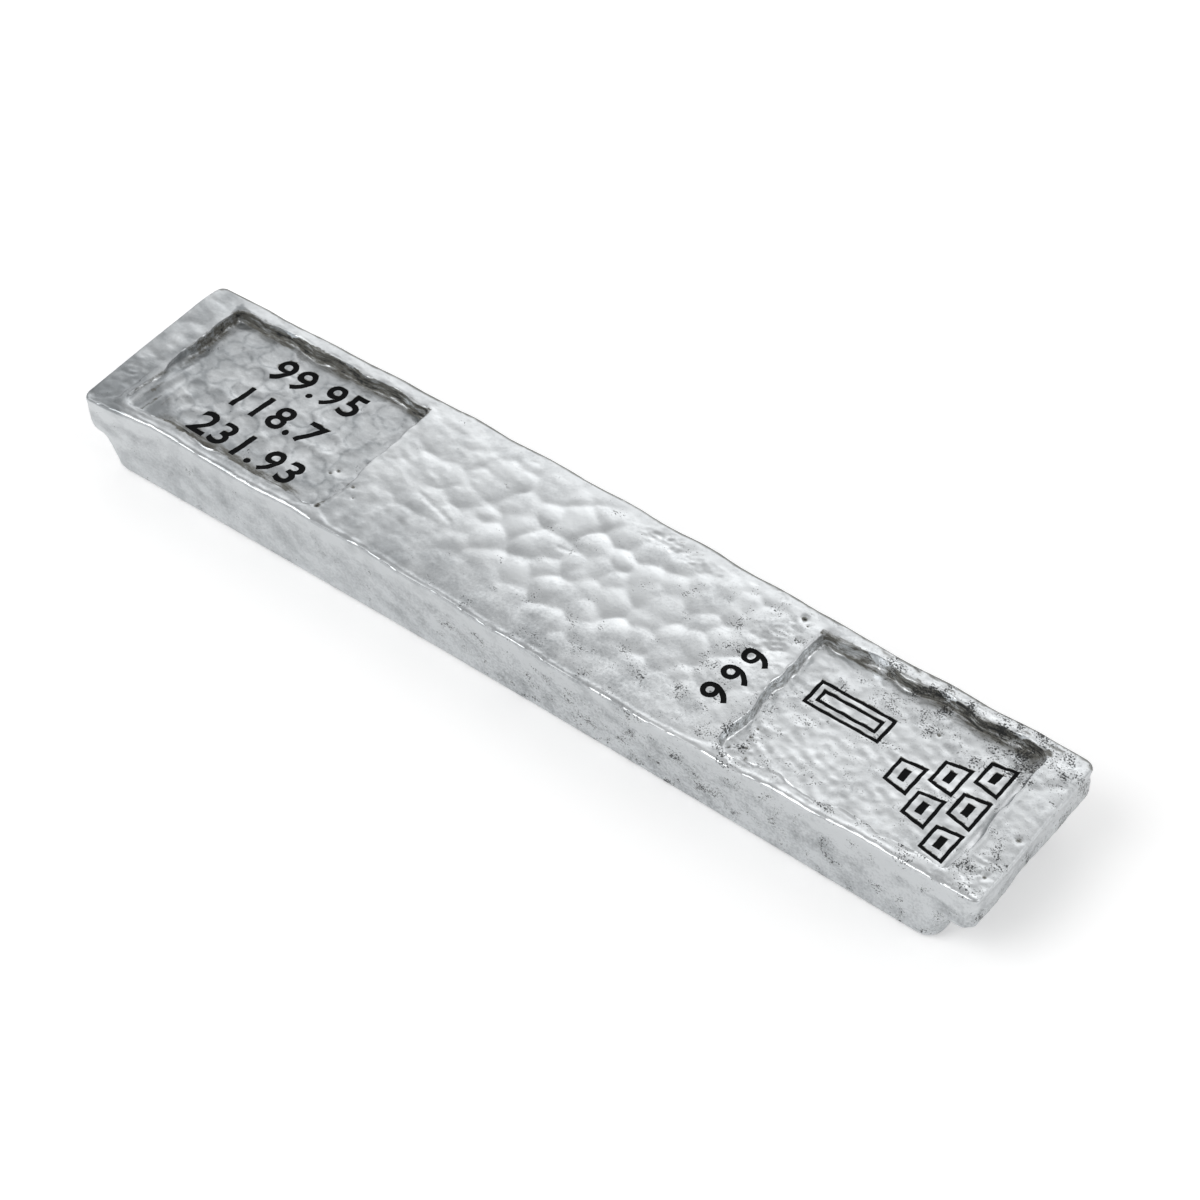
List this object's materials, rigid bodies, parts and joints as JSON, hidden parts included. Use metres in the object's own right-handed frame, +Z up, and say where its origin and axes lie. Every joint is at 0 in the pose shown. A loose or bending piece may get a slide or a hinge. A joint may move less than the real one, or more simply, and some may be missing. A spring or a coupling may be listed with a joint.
{
  "type": "tin ingot",
  "caption": "Small cast tin ingot: a flat bar with a short overhanging lip at each end and a shallow sunk panel in the top face near each end.",
  "frame": {"origin": "middle of the flat base, on the surface that the ingot lies on", "axes": "+X along the length, towards the end with the longer lip; +Y across the width, away from the side that the picture shows; +Z up, through the top face with the sunk panels"},
  "size_m": [0.1, 0.0208, 0.0083],
  "materials": {
    "tin": "cast and hammered tin, satin, with dark oxide left in the low corners",
    "black_fill": "matt black enamel rubbed into engraved marks"
  },
  "bodies": {
    "root": {"ingot": "tin"}
  },
  "joints": []
}
